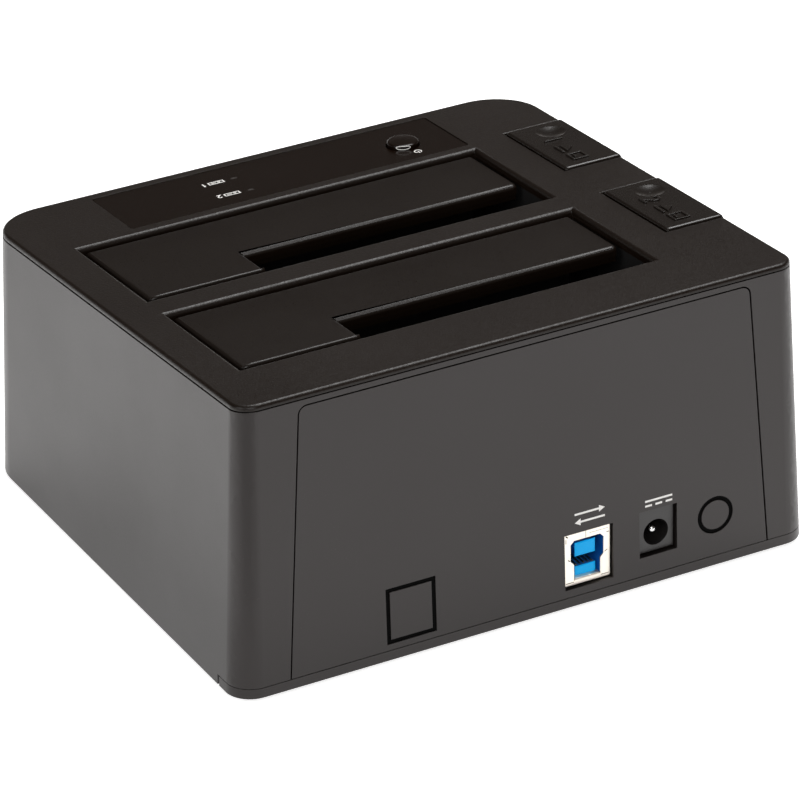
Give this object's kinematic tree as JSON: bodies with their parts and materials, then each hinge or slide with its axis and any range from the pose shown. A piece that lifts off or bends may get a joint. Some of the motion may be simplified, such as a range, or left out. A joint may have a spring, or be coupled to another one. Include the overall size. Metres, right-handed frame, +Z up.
{
  "type": "hard drive docking station",
  "caption": "Desktop dock that holds bare drives upright behind sprung flaps, with eject buttons, power button and rear ports.",
  "frame": {"origin": "bottom centre, on the surface the feet stand on", "axes": "+X along the drive slots away from the eject buttons, +Y to the rear with the ports, +Z up"},
  "size_m": [0.1474, 0.134, 0.0725],
  "materials": {
    "cover_plastic": "fine mould texture, satin",
    "casing_plastic": "smooth satin moulding",
    "flap_plastic": "fine satin texture",
    "button_plastic": "smooth satin moulding",
    "strip_plastic": "smooth, slightly glossy",
    "frame_plastic": "plain moulding",
    "lever_plastic": "plain moulding",
    "board": "green solder mask",
    "steel": "plain",
    "spring_steel": "drawn wire",
    "nickel": "bright nickel",
    "blue_insert": "moulded",
    "contact_gold": "plated",
    "jack_black": "moulded",
    "chip_black": "moulded",
    "coil_grey": "ferrite",
    "can_aluminium": "bright can",
    "cable_grey": "film cable",
    "socket_ivory": "moulded",
    "clear_pipe": "clear moulding",
    "lamp_white": "moulded",
    "switch_grey": "moulded",
    "rubber": "soft pad"
  },
  "bodies": {
    "casing": {"top_cover": "cover_plastic", "main_shell": "casing_plastic", "rear_panel": "casing_plastic", "base_plate": "casing_plastic", "bay_frame": "frame_plastic", "status_strip": "strip_plastic", "control_board": "board", "push_switch": "switch_grey", "control_screws": "steel", "main_board": "board", "bridge_chip": "chip_black", "regulator_chips": "chip_black", "inductors": "coil_grey", "capacitors": "can_aluminium", "crystal": "nickel", "ribbon_cable": "cable_grey", "ribbon_sockets": "socket_ivory", "usb_shell": "nickel", "usb_insert": "blue_insert", "usb_contacts": "contact_gold", "jack_body": "jack_black", "jack_pin": "nickel", "base_screws": "steel", "board_screws": "steel", "frame_screws": "steel", "light_pipe_1": "clear_pipe", "indicator_lamp_1": "lamp_white", "flap_pin_1": "steel", "lever_pin_1": "steel", "flap_spring_1": "spring_steel", "return_spring_1": "spring_steel", "drive_socket_1": "jack_black", "drive_contacts_1": "contact_gold", "light_pipe_2": "clear_pipe", "indicator_lamp_2": "lamp_white", "flap_pin_2": "steel", "lever_pin_2": "steel", "flap_spring_2": "spring_steel", "return_spring_2": "spring_steel", "drive_socket_2": "jack_black", "drive_contacts_2": "contact_gold", "foot_1": "rubber", "foot_2": "rubber", "foot_3": "rubber", "foot_4": "rubber"},
    "flap_1": {"flap_1": "flap_plastic"},
    "flap_2": {"flap_2": "flap_plastic"},
    "eject_button_1": {"eject_button_1": "button_plastic"},
    "eject_button_2": {"eject_button_2": "button_plastic"},
    "eject_lever_1": {"eject_lever_1": "lever_plastic"},
    "eject_lever_2": {"eject_lever_2": "lever_plastic"},
    "power_button": {"power_button": "strip_plastic"}
  },
  "joints": [
    {"name": "flap_1_hinge", "type": "hinge", "parent": "casing", "child": "flap_1", "pos_m": [0, -0.03478, 0.06142], "axis": [-1, 0, 0], "range_deg": [0, 90], "stiffness_Nm_per_rad": 0.004, "springref_deg": -45.84, "deforming": ["flap_spring_1"]},
    {"name": "flap_2_hinge", "type": "hinge", "parent": "casing", "child": "flap_2", "pos_m": [0, 0.0113, 0.0648], "axis": [-1, 0, 0], "range_deg": [0, 90], "stiffness_Nm_per_rad": 0.004, "springref_deg": -45.84, "deforming": ["flap_spring_2"]},
    {"name": "eject_button_1_slide", "type": "slide", "parent": "casing", "child": "eject_button_1", "axis": [0, 0.0732, -0.9973], "range_m": [0, 0.004], "stiffness_N_per_m": 300, "springref_m": -0.002, "deforming": ["return_spring_1"]},
    {"name": "eject_lever_1_pivot", "type": "hinge", "parent": "casing", "child": "eject_lever_1", "pos_m": [-0.0525, -0.00908, 0.02688], "axis": [0, -0.9973, -0.0732], "range_deg": [0, 23]},
    {"name": "eject_button_2_slide", "type": "slide", "parent": "casing", "child": "eject_button_2", "axis": [0, 0.0732, -0.9973], "range_m": [0, 0.004], "stiffness_N_per_m": 300, "springref_m": -0.002, "deforming": ["return_spring_2"]},
    {"name": "eject_lever_2_pivot", "type": "hinge", "parent": "casing", "child": "eject_lever_2", "pos_m": [-0.0525, 0.03725, 0.02688], "axis": [0, -0.9973, -0.0732], "range_deg": [0, 23]},
    {"name": "power_button_slide", "type": "slide", "parent": "casing", "child": "power_button", "axis": [0, 0.0732, -0.9973], "range_m": [0, 0.0006], "stiffness_N_per_m": 800, "springref_m": -0.0005}
  ],
  "couplings": [
    {"joint": "eject_lever_1_pivot", "follows": "eject_button_1_slide", "rad_per_m": 100},
    {"joint": "eject_lever_2_pivot", "follows": "eject_button_2_slide", "rad_per_m": 100}
  ]
}
